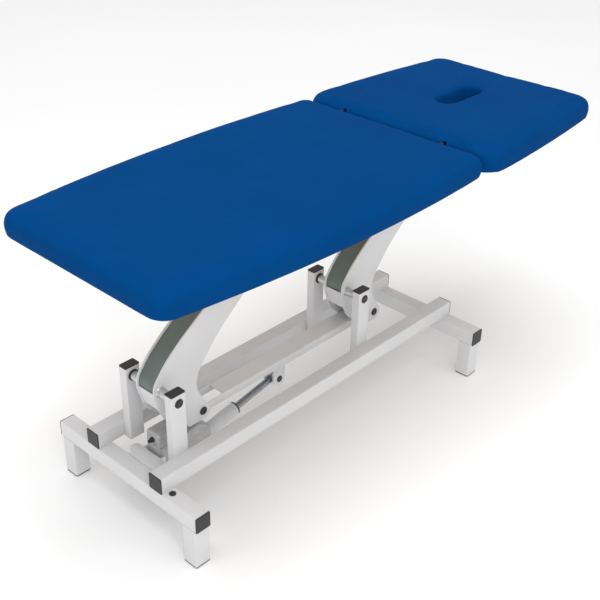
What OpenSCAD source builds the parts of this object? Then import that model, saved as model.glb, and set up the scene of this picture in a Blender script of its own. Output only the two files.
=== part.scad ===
// Height-adjustable medical examination couch with two upholstered sections.
// Frame: floor centre under the couch is the origin, +X is the head end, +Z is up.

/* [Upholstery] */
// Length of the two pads together
couch_l = 1876; // [1700:2000]
// Where the two pads meet, measured from the middle
split_x = 252; // [150:350]
// Gap between the two pads
pad_gap = 4; // [4:20]
// Height of the top of the pads at rest
pad_top_z = 893; // [870:910]
// Thickness of a pad from the board's underside to the top
pad_t = 80; // [50:90]
// Largest half width of the foot pad
main_half_w = 372.5; // [330:400]
// Largest half width of the head pad
head_half_w = 375; // [330:400]
// Corner radius of the pads in plan
pad_corner_r = 60; // [30:90]
// Length of the face slot
slot_l = 195; // [180:240]
// Width of the face slot
slot_w = 58; // [50:80]
// Middle of the face slot along the couch
slot_x = 615; // [560:640]
// Thickness of the plywood boards
board_t = 12; // [9:18]

/* [Base] */
// Side of the square base tube
tube = 50; // [40:60]
// Wall of the base tubes
tube_wall = 3; // [2:4]
// Front end of the base
base_x0 = -847; // [-900:-800]
// Rear end of the base
base_x1 = 450; // [400:500]
// Half length of the two crossbars
crossbar_half = 297.5; // [260:320]
// Height of the underside of the crossbars
crossbar_z = 128; // [100:150]
// Inner face of the base rails from the middle
rail_y = 111; // [105:120]
// Height of the arm pivots
pivot_z = 392; // [380:400]
// Position of the front arm pivot
front_pivot_x = -730; // [-740:-720]
// Distance between the two arm pivots
pivot_pitch = 764; // [740:780]
// Width of an upright along the couch
upright_w = 50; // [40:60]
// Depth of an upright across the couch
upright_d = 30; // [25:30]
// Diameter of the arm pivot shafts
shaft_d = 20; // [18:20]

/* [Arms] */
// Upper pivot from the arm pivot, along the couch
arm_x = 415; // [400:430]
// Upper pivot above the arm pivot
arm_z = 313; // [300:320]
// Tail pivot from the arm pivot, along the couch
tail_x = 146; // [140:150]
// Tail pivot below the arm pivot
tail_z = 140; // [135:145]
// Inner face of the arm plates from the middle
plate_y = 33; // [33:36]
// Thickness of the arm plates
plate_t = 5; // [4:6]

/* [Actuator] */
// Actuator base pin along the couch
act_x = -750; // [-755:-745]
// Height of the actuator base pin
act_z = 95; // [90:100]
// Actuator rod pin along the couch
rod_x = -256; // [-260:-250]
// Height of the actuator rod pin
rod_z = 190; // [185:195]
// Diameter of the push rod
rod_d = 22; // [20:24]
// Outside diameter of the actuator tube
act_tube_d = 40; // [38:42]

/* [Output] */
// Which sub-part to draw

/* [Hidden] */
$fn = 48;
half_l = couch_l / 2;
pad_z0 = pad_top_z - pad_t;
rear_pivot_x = front_pivot_x + pivot_pitch;
rail_z = crossbar_z + tube;
rail_top = rail_z + tube;
upright_y = rail_y - upright_d;
upright_top = pivot_z + 26;
bar_x = [base_x0, base_x1 - tube];
leg_y = 241;
cap_t = 3.5;
plate_out = plate_y + plate_t;
channel_y = plate_y - 0.4;
hub_y = 76;
fit = 0.04;
act_a = atan2(rod_z - act_z, rod_x - act_x);
act_len = norm([rod_x - act_x, rod_z - act_z]);
tube_mouth = 333;
frame_z = pad_z0 - 40;
hinge_z = pad_top_z - 25;
head_tube_y = 155.3;
white = [0.86, 0.86, 0.88];
black = [0.13, 0.13, 0.14];
steel = [0.7, 0.7, 0.72];
grey = [0.42, 0.43, 0.44];
blue = [0.05, 0.32, 0.58];
wood = [0.78, 0.66, 0.48];

// ---------- helpers ----------
function arc(c, r, a0, a1, n) = [for (i = [0:n])
    let (a = a0 + (a1 - a0) * i / n) [c[0] + r * cos(a), c[1] + r * sin(a)]];
function turned(p) = [-p[1], p[0]];
function along(pts, i) = let (n = len(pts) - 1, a = pts[max(i - 1, 0)], b = pts[min(i + 1, n)])
    (b - a) / norm(b - a);
function shifted(pts, d) = [for (i = [0:len(pts) - 1]) pts[i] + turned(along(pts, i)) * d];
function backwards(pts) = [for (i = [len(pts) - 1:-1:0]) pts[i]];

// flat plate standing in the X-Z plane between y0 and y1
module upright_plate(y0, y1) {
    translate([0, y1, 0]) rotate([90, 0, 0]) linear_extrude(y1 - y0) children();
}
// the same plate on both sides of the couch
module both_sides(y0, y1) {
    upright_plate(y0, y1) children();
    upright_plate(-y1, -y0) children();
}
// cylinder along Y between y0 and y1
module across(x, z, d, y0, y1) {
    translate([x, y0, z]) rotate([-90, 0, 0]) cylinder(d = d, h = y1 - y0);
}
// open-ended rectangular tube along X, Y or Z
module box_tube(size, wall, axis) {
    difference() {
        cube(size);
        translate([axis == 0 ? -1 : wall, axis == 1 ? -1 : wall, axis == 2 ? -1 : wall])
            cube([size[0] - (axis == 0 ? -2 : 2 * wall),
                size[1] - (axis == 1 ? -2 : 2 * wall),
                size[2] - (axis == 2 ? -2 : 2 * wall)]);
    }
}
// push-in tube cap, plate outwards along +Z, plug below it
module tube_cap(a, b, wall, plate) {
    translate([-a / 2, -b / 2, 0]) cube([a, b, plate]);
    translate([-a / 2 + wall + 0.2, -b / 2 + wall + 0.2, -12])
        cube([a - 2 * wall - 0.4, b - 2 * wall - 0.4, 12.1]);
}
// a straight bar between two points of the X-Z plane, as a flat outline
module act_frame() {
    translate([act_x, 0, act_z]) rotate([0, -act_a, 0]) children();
}
module along_act(d, x0, x1) {
    translate([x0, 0, 0]) rotate([0, 90, 0]) cylinder(d = d, h = x1 - x0);
}

// ---------- base ----------
module crossbars() color(white) for (x = bar_x)
    translate([x, -crossbar_half + cap_t, crossbar_z])
        box_tube([tube, 2 * (crossbar_half - cap_t), tube], tube_wall, 1);

module base_rails() color(white) for (y = [-rail_y - tube, rail_y])
    difference() {
        translate([base_x0 + cap_t, y, rail_z])
            box_tube([base_x1 - base_x0 - 2 * cap_t, tube, tube], tube_wall, 0);
        for (x = [front_pivot_x, rear_pivot_x])
            translate([x, y + tube / 2, rail_z - 1]) cylinder(d = 6, h = tube_wall + 1.5);
    }

module legs() color(white) for (x = bar_x, y = [-leg_y - tube, leg_y])
    translate([x, y, 4]) box_tube([tube, tube, crossbar_z - 4], tube_wall, 2);

module foot_caps() color(black) for (x = bar_x, y = [-leg_y - tube / 2, leg_y + tube / 2])
    translate([x + tube / 2, y, 4]) rotate([180, 0, 0]) tube_cap(tube, tube, tube_wall, 4);

module crossbar_caps() color(black) for (x = bar_x, s = [-1, 1])
    translate([x + tube / 2, s * (crossbar_half - cap_t), crossbar_z + tube / 2])
        rotate([-90 * s, 0, 0]) tube_cap(tube, tube, tube_wall, cap_t);

module rail_caps() color(black) for (y = [-rail_y - tube / 2, rail_y + tube / 2], s = [-1, 1])
    translate([s > 0 ? base_x1 - cap_t : base_x0 + cap_t, y, rail_z + tube / 2])
        rotate([0, 90 * s, 0]) tube_cap(tube, tube, tube_wall, cap_t);

module uprights() color(white)
    for (x = [front_pivot_x, rear_pivot_x], y = [-rail_y, upright_y])
        difference() {
            translate([x - upright_w / 2, y, rail_z])
                box_tube([upright_w, upright_d, upright_top - rail_z], tube_wall, 2);
            across(x, pivot_z, shaft_d, y - 1, y + upright_d + 1);
        }

module upright_caps() color(black)
    for (x = [front_pivot_x, rear_pivot_x], y = [-rail_y, upright_y])
        translate([x, y + upright_d / 2, upright_top])
            tube_cap(upright_w, upright_d, tube_wall, 4);

module pivot_shafts() color(steel) for (x = [front_pivot_x, rear_pivot_x])
    across(x, pivot_z, shaft_d, -rail_y, rail_y);

module shaft_end_caps() color(black) for (x = [front_pivot_x, rear_pivot_x], s = [-1, 1])
    across(x, pivot_z, 28, s > 0 ? rail_y : -rail_y - 5, s > 0 ? rail_y + 5 : -rail_y);

module crossbar_plug() color(black) translate([base_x0 + tube / 2, -177, crossbar_z + tube])
    cylinder(d = 20, h = 3);

module actuator_bracket() color(white) {
    x0 = base_x0 + tube;
    translate([0, 0, rail_z - 6]) linear_extrude(6) union() {
        polygon([[x0, -rail_y], [x0 + 47, -rail_y], [x0 + 47, 47], [x0 + 5, 40], [x0, 40]]);
        intersection() {
            translate([x0 + 31, 47]) circle(d = 32);
            translate([x0, 30]) square([60, 60]);
        }
    }
    difference() {
        both_sides(34, 40) polygon(concat([[x0, rail_z - 6], [x0, act_z + 10]],
            arc([act_x, act_z], 20, 200, 340, 10), [[act_x + 20, rail_z - 6]]));
        across(act_x, act_z, 12, -41, 41);
    }
}

module base_pin() color(steel) {
    across(act_x, act_z, 12, -40, 43);
    across(act_x, act_z, 20, -44, -40);
}

module base_pin_sleeves() color(black) for (y = [-33.9, 12.4]) difference() {
    across(act_x, act_z, 18, y, y + 21.5);
    across(act_x, act_z, 12, y - 1, y + 23);
}

// ---------- lifting arms ----------
// front edge of an arm plate from the tail up to the upper pivot, in arm coordinates
arm_front = concat(
    arc([100, -150], 18, -90, -128, 3),
    [[45, -130], [6, -93], [-9, -62]],
    arc([52, 0], 77, 200, 132, 8),
    [[36, 95], [78, 130], [124, 163], [163, 190]]);
// rear edge from the upper pivot down to the tail
arm_rear = concat([[239, 118], [201, 82]], arc([206, -36], 80, 140, 205, 8));

module arm_outline() polygon(concat(
    arm_front,
    arc([arm_x, arm_z], 38, 127, -53, 14),
    arm_rear,
    arc([tail_x, -tail_z], 30, 15, -90, 8)));

module arm_plates(x) color(white) difference() {
    translate([x, 0, pivot_z]) both_sides(plate_y, plate_out) arm_outline();
    across(x, pivot_z, 28, -60, 60);
    across(x + arm_x, pivot_z + arm_z, 30, -60, 60);
    across(x + tail_x, pivot_z - tail_z, 12 + 2 * fit, -60, 60);
}

// strip of sheet between the plates that follows an edge
module arm_strip(x, edge, depth, t) {
    translate([x, 0, pivot_z]) upright_plate(-plate_y, plate_y)
        polygon(concat(shifted(edge, depth), backwards(shifted(edge, depth + t))));
}

front_edge = concat(arc([52, 0], 77, 180, 132, 6),
    [[36, 95], [78, 130], [124, 163], [163, 190], [240, 241.5], [340, 308.3]]);
lower_edge = concat([[-9, -62]], arc([52, 0], 77, 198, 182, 3));
rear_edge = concat(backwards(arc([206, -36], 80, 140, 178, 5)),
    [[201, 82], [239, 118], [295, 164.4], [372, 228]]);

module arm_panel(x) color([0.38, 0.42, 0.41]) arm_strip(x, front_edge, -6, -3);

module arm_webs(x) color(white) {
    arm_strip(x, lower_edge, -3, -3);
    arm_strip(x, rear_edge, 3, 3);
}

module arm_hub_tube(x) color(steel) difference() {
    across(x, pivot_z, 28, -hub_y, hub_y);
    across(x, pivot_z, 24, -hub_y - 1, hub_y + 1);
}

module arm_bushes(x) color(black) for (s = [-1, 1]) difference() {
    union() {
        across(x, pivot_z, 34, s > 0 ? hub_y : -hub_y - 4.7, s > 0 ? hub_y + 4.7 : -hub_y);
        across(x, pivot_z, 24, s > 0 ? hub_y - 20 : -hub_y, s > 0 ? hub_y : -hub_y + 20);
    }
    across(x, pivot_z, shaft_d + 2 * fit, -90, 90);
}

module arm_top_tube(x) color(steel) difference() {
    across(x + arm_x, pivot_z + arm_z, 30, -plate_out - 2, plate_out + 2);
    across(x + arm_x, pivot_z + arm_z, 16 + 2 * fit, -60, 60);
}

module front_arm_plates() arm_plates(front_pivot_x);
module front_arm_panel() arm_panel(front_pivot_x);
module front_arm_webs() arm_webs(front_pivot_x);
module front_arm_hub_tube() arm_hub_tube(front_pivot_x);
module front_arm_bushes() arm_bushes(front_pivot_x);
module front_arm_top_tube() arm_top_tube(front_pivot_x);
module rear_arm_plates() arm_plates(rear_pivot_x);
module rear_arm_panel() arm_panel(rear_pivot_x);
module rear_arm_webs() arm_webs(rear_pivot_x);
module rear_arm_hub_tube() arm_hub_tube(rear_pivot_x);
module rear_arm_bushes() arm_bushes(rear_pivot_x);
module rear_arm_top_tube() arm_top_tube(rear_pivot_x);

// ---------- link between the two arm tails ----------
link_z = pivot_z - tail_z;
link_x0 = front_pivot_x + tail_x - 25;
link_x1 = rear_pivot_x + tail_x + 25;
link_top = link_z + 13;
tail_pins = [front_pivot_x + tail_x, rear_pivot_x + tail_x];

module link_channel() color(white) difference() {
    union() {
        translate([link_x0, -channel_y, link_top - 25])
            cube([link_x1 - link_x0, 3, 25]);
        translate([link_x0, channel_y - 3, link_top - 25])
            cube([link_x1 - link_x0, 3, 25]);
        translate([link_x0 + 111, -channel_y, link_top - 3])
            cube([link_x1 - link_x0 - 111, 2 * channel_y, 3]);
    }
    for (x = tail_pins) across(x, link_z, 10, -60, 60);
}

module rod_lugs() color(white) difference() {
    both_sides(17, 23) polygon(concat([[rod_x - 25, link_top - 3]],
        arc([rod_x, rod_z], 25, 180, 360, 16), [[rod_x + 25, link_top - 3]]));
    across(rod_x, rod_z, 12, -40, 40);
}

module rod_pin() color(black) {
    across(rod_x, rod_z, 12, -23, 23);
    across(rod_x, rod_z, 22, -27, -23);
    across(rod_x, rod_z, 22, 23, 27);
}

module tail_bolts() color(black) for (x = tail_pins, s = [-1, 1]) {
    across(x, link_z, 26, s > 0 ? plate_out + 1.3 : -plate_out - 5.3,
        s > 0 ? plate_out + 5.3 : -plate_out - 1.3);
    across(x, link_z, 12, s > 0 ? channel_y : -plate_out - 1.3,
        s > 0 ? plate_out + 1.3 : -channel_y);
    across(x, link_z, 10, s > 0 ? channel_y - 3 : -channel_y,
        s > 0 ? channel_y : -channel_y + 3);
}

// ---------- actuator ----------
module gear_housing() color(grey) difference() {
    union() {
        upright_plate(-28, 28) polygon([[-740, 195], [-740, 78], [-728, 70], [-560, 100],
            [-548, 110], [-548, 170], [-555, 181], [-574, 193], [-589, 204], [-643, 195]]);
        upright_plate(-12, 12) polygon(concat(arc([act_x, act_z], 16, 60, 300, 14),
            [[-738, 81], [-738, 109]]));
    }
    across(act_x, act_z, 12 + 2 * fit, -40, 40);
    upright_plate(-25, 25) polygon([[-722, 196], [-722, 80], [-718, 76], [-575, 101.5],
        [-563, 108], [-563, 165], [-567, 174], [-590, 190], [-643, 184], [-643, 196]]);
    act_frame() along_act(act_tube_d, 160, 240);
}

module motor_housing() color([0.36, 0.37, 0.38]) difference() {
    upright_plate(-28, 28) polygon([[-740, 195.4], [-643.5, 195.4], [-643.5, 232],
        [-648, 237], [-735, 237], [-740, 232]]);
    upright_plate(-25, 25) polygon([[-737, 195], [-646.5, 195], [-646.5, 230.5],
        [-649, 234], [-734, 234], [-737, 230.5]]);
}

module actuator_tube() color([0.5, 0.51, 0.52]) act_frame() difference() {
    along_act(act_tube_d, 180, tube_mouth - 4);
    along_act(act_tube_d - 5.4, 179, tube_mouth);
}

module tube_end_ring() color(black) act_frame() difference() {
    along_act(act_tube_d + 1, tube_mouth - 4, tube_mouth);
    along_act(33, tube_mouth - 5, tube_mouth + 1);
}

module drive_motor() color(steel) act_frame() {
    translate([72, 0, 46]) cylinder(d = 42, h = 66);
    translate([72, 0, 20]) cylinder(d = 6, h = 26);
}

module motor_pinion() color(steel) act_frame() difference() {
    translate([72, 0, 22]) cylinder(d1 = 12, d2 = 24, h = 12);
    translate([72, 0, 10]) cylinder(d = 6, h = 30);
}

module screw_gear() color(steel) act_frame() difference() {
    translate([84, 0, 0]) rotate([0, 90, 0]) cylinder(d1 = 42, d2 = 30, h = 12);
    along_act(7, 80, 100);
    translate([72, 0, 22]) cylinder(d1 = 13, d2 = 25, h = 12.4);
}

module lead_screw() color(steel) act_frame() {
    along_act(7, 84, 326);
    along_act(16, 96.2, 108);
}

module mains_inlet() color(black) {
    translate([-748, 0, 216]) rotate([0, 90, 0]) cylinder(d = 16, h = 8);
    translate([-756, 0, 216]) rotate([0, 90, 0]) cylinder(d = 9, h = 8);
}

module push_rod() color(steel) act_frame() difference() {
    along_act(rod_d, act_len - 213, act_len - 15.2);
    along_act(18, act_len - 214, act_len - 28);
}

module rod_eye() color(steel) act_frame() difference() {
    union() {
        translate([act_len, 16, 0]) rotate([90, 0, 0]) cylinder(d = 30, h = 32);
        along_act(rod_d, act_len - 15.2, act_len - 5);
    }
    translate([act_len, 20, 0]) rotate([90, 0, 0]) cylinder(d = 12 + 2 * fit, h = 40);
}

module drive_nut() color(black) act_frame() difference() {
    along_act(23.5, act_len - 235, act_len - 213);
    along_act(18, act_len - 236, act_len - 212);
}

// ---------- upper frame ----------
front_up_x = front_pivot_x + arm_x;
rear_up_x = rear_pivot_x + arm_x;
up_z = pivot_z + arm_z;
cross_x = [-840, front_up_x - 20, 185];
screw_y = [-110, 110];

module top_rails() color(white) for (y = [-190, 150])
    translate([-880, y, frame_z]) box_tube([1112, 40, 40], 2.5, 0);

module top_cross_tubes() color(white) for (x = cross_x) difference() {
    translate([x, -150, frame_z]) box_tube([40, 300, 40], 2.5, 1);
    for (y = screw_y) translate([x + 20, y, frame_z - 1]) cylinder(d = 8, h = 50);
}

module top_rail_caps() color(black) for (y = [-170, 170], s = [-1, 1])
    translate([s > 0 ? 232 : -880, y, frame_z + 20]) rotate([0, 90 * s, 0])
        tube_cap(40, 40, 2.5, 3);

module hanger_plates() color(white) difference() {
    both_sides(43, 49) polygon(concat(arc([front_up_x, up_z], 24, 180, 360, 16),
        [[front_up_x + 34, frame_z], [front_up_x - 34, frame_z]]));
    across(front_up_x, up_z, 16, -60, 60);
}

module outrigger_plates() color(white) difference() {
    both_sides(43, 49) polygon(concat([[rear_up_x - 14, up_z + 26], [232, frame_z],
        [100, frame_z], [100, frame_z - 18], [250, frame_z - 46]],
        arc([rear_up_x, up_z], 24, 250, 430, 14)));
    across(rear_up_x, up_z, 16, -60, 60);
}

module upper_shafts() color(steel) for (x = [front_up_x, rear_up_x])
    across(x, up_z, 16, -50, 50);

module upper_shaft_nuts() color(black) for (x = [front_up_x, rear_up_x], s = [-1, 1])
    difference() {
        across(x, up_z, 26, s > 0 ? 49 : -55, s > 0 ? 55 : -49);
        across(x, up_z, 16, -50, 50);
    }

module board_screws() color(steel) for (x = cross_x, y = screw_y)
    translate([x + 20, y, 0]) {
        translate([0, 0, frame_z - 5]) cylinder(d = 15, h = 5, $fn = 6);
        translate([0, 0, frame_z]) cylinder(d = 8, h = 49);
    }

// ---------- pads ----------
function main_w(x) = main_half_w - 0.000101 * pow(x + 182, 2);
function head_w(x) = head_half_w - 0.000089 * pow(x - 135, 2);
// r holds the corner radius at the foot side and at the head side of the pad
function pad_side(x0, x1, r, k, head) = [for (i = [0:10])
    let (x = x0 + r[0] + (x1 - x0 - r[0] - r[1]) * i / 10) [x, (head ? head_w(x) : main_w(x)) - k]];
function pad_half(x0, x1, r, k, head) = let (s = pad_side(x0 + k, x1 - k, r, k, head))
    concat(arc([x0 + k + r[0], s[0][1] - r[0]], r[0], 180, 95, 8), s,
        arc([x1 - k - r[1], s[10][1] - r[1]], r[1], 85, 0, 8));
module pad_plan(x0, x1, r, k, head) {
    h = pad_half(x0, x1, r, k, head);
    polygon(concat(h, [for (p = backwards(h)) [p[0], -p[1]]]));
}
module pad_slice(x0, x1, r, k, z, head) translate([0, 0, z]) linear_extrude(0.5)
    pad_plan(x0, x1, r, k, head);
module pad_body(x0, x1, r, head) hull() {
    pad_slice(x0, x1, r, 4, pad_z0, head);
    pad_slice(x0, x1, r, 0.8, pad_z0 + 8, head);
    pad_slice(x0, x1, r, 0, pad_top_z - 26, head);
    pad_slice(x0, x1, r, 5, pad_top_z - 14, head);
    pad_slice(x0, x1, r, 9, pad_top_z - 6, head);
    pad_slice(x0, x1, r, 22, pad_top_z - 0.5, head);
}
module face_slot(grow, z0, z1) translate([0, 0, z0]) linear_extrude(z1 - z0) {
    d = slot_l / 2 - slot_w / 2;
    polygon(concat(arc([slot_x + d, 0], slot_w / 2 + grow, -90, 90, 20),
        arc([slot_x - d, 0], slot_w / 2 + grow, 90, 270, 20)));
}
main_r = [pad_corner_r - 8, pad_corner_r - 18];
head_r = [pad_corner_r + 12, pad_corner_r - 14];
main_x1 = split_x - pad_gap / 2;
head_x0 = split_x + pad_gap / 2;

module main_board() color(wood) difference() {
    translate([0, 0, pad_z0]) linear_extrude(board_t)
        pad_plan(-half_l, main_x1, main_r, 16, false);
    for (x = cross_x, y = screw_y)
        translate([x + 20, y, pad_z0 - 1]) cylinder(d = 8, h = 10.2);
    for (y = [-197, 188]) translate([222, y, pad_z0 - 1]) cube([40, 9, 20]);
}

module main_cushion() color(blue) difference() {
    pad_body(-half_l, main_x1, main_r, false);
    translate([0, 0, pad_z0 - 1]) linear_extrude(board_t + 1)
        pad_plan(-half_l, main_x1, main_r, 16, false);
    for (y = [-204, 187]) translate([220, y, pad_z0 - 1]) cube([60, 17, pad_t - 9]);
    translate([main_x1 - 10, -500, pad_z0 - 1]) rotate([0, 12, 0])
        translate([0, 0, -30]) cube([40, 1000, 82]);
}

module head_board() color(wood) difference() {
    translate([0, 0, pad_z0]) linear_extrude(board_t)
        pad_plan(head_x0, half_l, head_r, 16, true);
    face_slot(3, pad_z0 - 1, pad_z0 + board_t + 1);
    for (y = [-204, 187]) translate([230, y, pad_z0 - 1]) cube([70, 17, 20]);
}

module head_cushion() color(blue) difference() {
    pad_body(head_x0, half_l, head_r, true);
    translate([0, 0, pad_z0 - 1]) linear_extrude(board_t + 1)
        pad_plan(head_x0, half_l, head_r, 16, true);
    face_slot(0, pad_z0 - 1, pad_top_z + 1);
    for (y = [-204, 187]) translate([230, y, pad_z0 - 1]) cube([70, 17, pad_t - 9]);
}

// ---------- head section frame and hinges ----------
module head_side_tubes() color(white) for (y = [-head_tube_y - 40, head_tube_y])
    translate([292, y, frame_z]) box_tube([520, 40, 40], 2.5, 0);

module head_cross_tube() color(white)
    translate([772, -head_tube_y, frame_z]) box_tube([40, 2 * head_tube_y, 40], 2.5, 1);

module hinge_fixed_leaves() color(steel) difference() {
    both_sides(190, 194.5) polygon(concat([[150, frame_z + 6], [234, frame_z + 6],
        [246, frame_z + 34]], arc([split_x, hinge_z], 10, -20, 190, 14),
        [[226, frame_z + 34], [150, frame_z + 34]]));
    across(split_x, hinge_z, 8, -220, 220);
}

module hinge_moving_leaves() color(steel) difference() {
    both_sides(195.3, 199.8) polygon(concat(arc([split_x, hinge_z], 10, 0, 215, 14),
        [[280, frame_z + 30], [296, frame_z + 6], [380, frame_z + 6],
        [380, frame_z + 34], [306, frame_z + 34]]));
    across(split_x, hinge_z, 8 + 2 * fit, -220, 220);
}

module hinge_pins() color(black) for (s = [-1, 1]) {
    across(split_x, hinge_z, 8, s > 0 ? 190 : -200.2, s > 0 ? 200.2 : -190);
    across(split_x, hinge_z, 13, s > 0 ? 200.2 : -202.7, s > 0 ? 202.7 : -200.2);
}

module tail_washers() color(steel) for (x = tail_pins, s = [-1, 1]) difference() {
    across(x, link_z, 22, s > 0 ? plate_out + 0.3 : -plate_out - 1.3,
        s > 0 ? plate_out + 1.3 : -plate_out - 0.3);
    across(x, link_z, 12, -60, 60);
}

// ---------- output ----------
crossbars();
base_rails();
legs();
foot_caps();
crossbar_caps();
rail_caps();
uprights();
upright_caps();
pivot_shafts();
shaft_end_caps();
crossbar_plug();
actuator_bracket();
base_pin();
base_pin_sleeves();
front_arm_plates();
front_arm_panel();
front_arm_webs();
front_arm_hub_tube();
front_arm_bushes();
front_arm_top_tube();
rear_arm_plates();
rear_arm_panel();
rear_arm_webs();
rear_arm_hub_tube();
rear_arm_bushes();
rear_arm_top_tube();
link_channel();
rod_lugs();
rod_pin();
tail_bolts();
tail_washers();
gear_housing();
motor_housing();
actuator_tube();
tube_end_ring();
drive_motor();
motor_pinion();
screw_gear();
lead_screw();
mains_inlet();
push_rod();
rod_eye();
drive_nut();
top_rails();
top_cross_tubes();
top_rail_caps();
hanger_plates();
outrigger_plates();
upper_shafts();
upper_shaft_nuts();
board_screws();
main_board();
main_cushion();
hinge_fixed_leaves();
hinge_pins();
head_board();
head_cushion();
head_side_tubes();
head_cross_tube();
hinge_moving_leaves();
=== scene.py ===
# Height-adjustable examination couch: the looks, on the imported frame.
# Metres, +X to the head end, +Z up.
import math
import bmesh
import bpy
from mathutils import Matrix, Vector, noise


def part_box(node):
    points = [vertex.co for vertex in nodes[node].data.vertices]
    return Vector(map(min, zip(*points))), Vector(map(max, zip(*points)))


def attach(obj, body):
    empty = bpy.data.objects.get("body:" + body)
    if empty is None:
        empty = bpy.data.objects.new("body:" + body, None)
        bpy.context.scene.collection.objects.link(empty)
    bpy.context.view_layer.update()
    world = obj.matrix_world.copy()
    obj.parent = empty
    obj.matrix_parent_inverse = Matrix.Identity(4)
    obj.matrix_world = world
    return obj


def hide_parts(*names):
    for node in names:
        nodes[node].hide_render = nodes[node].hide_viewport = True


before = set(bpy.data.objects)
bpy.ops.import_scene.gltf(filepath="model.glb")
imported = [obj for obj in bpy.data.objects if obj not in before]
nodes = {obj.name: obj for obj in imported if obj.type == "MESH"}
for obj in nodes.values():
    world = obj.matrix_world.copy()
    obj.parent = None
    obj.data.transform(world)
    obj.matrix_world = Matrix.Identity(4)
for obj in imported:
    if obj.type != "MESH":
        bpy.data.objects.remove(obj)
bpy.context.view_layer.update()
MM = 0.001


# ---------------------------------------------------------------- materials
def new_material(name):
    mat = bpy.data.materials.new(name)
    mat.use_nodes = True
    tree = mat.node_tree
    return mat, tree, tree.nodes["Principled BSDF"]


def add(tree, kind, **inputs):
    n = tree.nodes.new(kind)
    for key, value in inputs.items():
        n.inputs[key.replace("_", " ")].default_value = value
    return n


def noise_at(tree, coord, scale, detail=4.0, rough=0.55):
    n = add(tree, "ShaderNodeTexNoise", Scale=scale, Detail=detail, Roughness=rough)
    tree.links.new(coord, n.inputs["Vector"])
    return n.outputs["Fac"]


def ramp(tree, value, stops):
    r = tree.nodes.new("ShaderNodeValToRGB")
    els = r.color_ramp.elements
    els[0].position, els[0].color = stops[0][0], (*stops[0][1], 1)
    els[1].position, els[1].color = stops[-1][0], (*stops[-1][1], 1)
    for pos, col in stops[1:-1]:
        e = els.new(pos)
        e.color = (*col, 1)
    tree.links.new(value, r.inputs["Fac"])
    return r.outputs["Color"]


def to_range(tree, value, low, high, a=0.0, b=1.0):
    m = add(tree, "ShaderNodeMapRange", From_Min=a, From_Max=b, To_Min=low, To_Max=high)
    tree.links.new(value, m.inputs["Value"])
    return m.outputs["Result"]


def bump(tree, height, strength, distance, normal=None):
    b = add(tree, "ShaderNodeBump", Strength=strength, Distance=distance)
    tree.links.new(height, b.inputs["Height"])
    if normal is not None:
        tree.links.new(normal, b.inputs["Normal"])
    return b.outputs["Normal"]


def obj_coord(tree):
    return tree.nodes.new("ShaderNodeTexCoord").outputs["Object"]


def tint(c, k):
    return tuple(min(1.0, v * k) for v in c)


def paint(name, colour, rough=0.42, worn=0.04):
    """Powder coat: fine orange peel, a little cloudiness in colour and gloss."""
    mat, tree, b = new_material(name)
    c = obj_coord(tree)
    cloud = noise_at(tree, c, 7.0, 3.0)
    tree.links.new(ramp(tree, cloud, [(0.3, tint(colour, 1 - worn)), (0.7, tint(colour, 1 + worn / 2))]),
                   b.inputs["Base Color"])
    peel = noise_at(tree, c, 900.0, 2.0, 0.4)
    tree.links.new(to_range(tree, noise_at(tree, c, 60.0, 3.0), rough - 0.05, rough + 0.07),
        b.inputs["Roughness"])
    tree.links.new(bump(tree, peel, 0.18, 0.0003), b.inputs["Normal"])
    b.inputs["Coat Weight"].default_value = 0.12
    b.inputs["Coat Roughness"].default_value = 0.25
    return mat


def plastic(name, colour, rough=0.5, grain=1400.0, depth=0.0002):
    """Moulded plastic with a fine spark-eroded grain and lighter rubbed spots."""
    mat, tree, b = new_material(name)
    c = obj_coord(tree)
    rub = noise_at(tree, c, 45.0, 5.0)
    tree.links.new(ramp(tree, rub, [(0.35, colour), (0.62, tint(colour, 1.25)), (0.8, tint(colour, 1.7))]),
                   b.inputs["Base Color"])
    tree.links.new(to_range(tree, rub, rough + 0.08, rough - 0.06), b.inputs["Roughness"])
    tree.links.new(bump(tree, noise_at(tree, c, grain, 3.0, 0.6), 0.35, depth), b.inputs["Normal"])
    return mat


def metal(name, colour, rough=0.32, stretch=(1, 1, 1), scale=400.0, metallic=1.0):
    """Zinc-plated or drawn steel: fine streaks along one direction and faint clouding."""
    mat, tree, b = new_material(name)
    c = obj_coord(tree)
    m = tree.nodes.new("ShaderNodeMapping")
    m.inputs["Scale"].default_value = stretch
    tree.links.new(c, m.inputs["Vector"])
    streak = noise_at(tree, m.outputs["Vector"], scale, 4.0, 0.6)
    cloud = noise_at(tree, c, 30.0, 4.0)
    tree.links.new(ramp(tree, cloud, [(0.3, tint(colour, 0.86)), (0.7, tint(colour, 1.08))]),
        b.inputs["Base Color"])
    tree.links.new(to_range(tree, streak, rough - 0.08, rough + 0.12), b.inputs["Roughness"])
    tree.links.new(bump(tree, streak, 0.2, 0.0002), b.inputs["Normal"])
    b.inputs["Metallic"].default_value = metallic
    return mat


def casting(name, colour):
    """Painted die casting: pebbled skin over soft lumps."""
    mat, tree, b = new_material(name)
    c = obj_coord(tree)
    pebble = noise_at(tree, c, 650.0, 4.0, 0.6)
    lump = noise_at(tree, c, 60.0, 2.0)
    tree.links.new(ramp(tree, lump, [(0.3, tint(colour, 0.88)), (0.7, tint(colour, 1.1))]),
        b.inputs["Base Color"])
    tree.links.new(to_range(tree, pebble, 0.42, 0.62), b.inputs["Roughness"])
    n = bump(tree, lump, 0.15, 0.002)
    tree.links.new(bump(tree, pebble, 0.4, 0.0004, n), b.inputs["Normal"])
    b.inputs["Metallic"].default_value = 0.35
    return mat


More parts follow.
